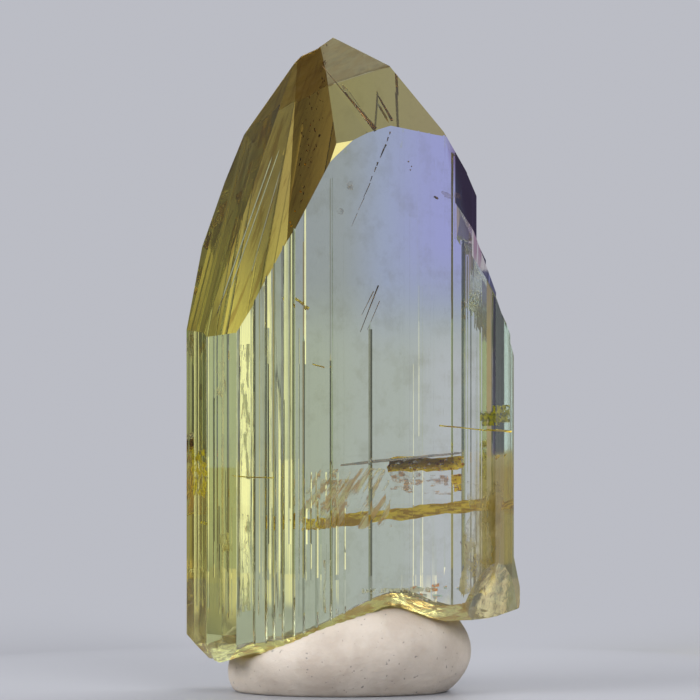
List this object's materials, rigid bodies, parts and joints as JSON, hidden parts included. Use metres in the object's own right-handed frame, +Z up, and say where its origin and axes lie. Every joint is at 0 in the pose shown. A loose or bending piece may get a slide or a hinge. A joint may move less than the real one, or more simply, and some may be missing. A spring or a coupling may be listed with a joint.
{
  "type": "tanzanite crystal",
  "caption": "Natural striated tanzanite crystal with a wedge-shaped tip and a broken base, standing upright in a lump of mounting putty.",
  "frame": {"origin": "on the table under the middle of the putty", "axes": "+Z up along the crystal, -Y out of the broad striated front face, +X towards the stepped flank"},
  "size_m": [0.0139, 0.0081, 0.0273],
  "materials": {
    "tanzanite": "clear natural crystal, pale blue-green and lavender through the front, olive-yellow at the left and the base",
    "putty": "matte pale beige putty with fine specks"
  },
  "bodies": {
    "root": {"crystal": "tanzanite", "putty_foot": "putty"}
  },
  "joints": []
}
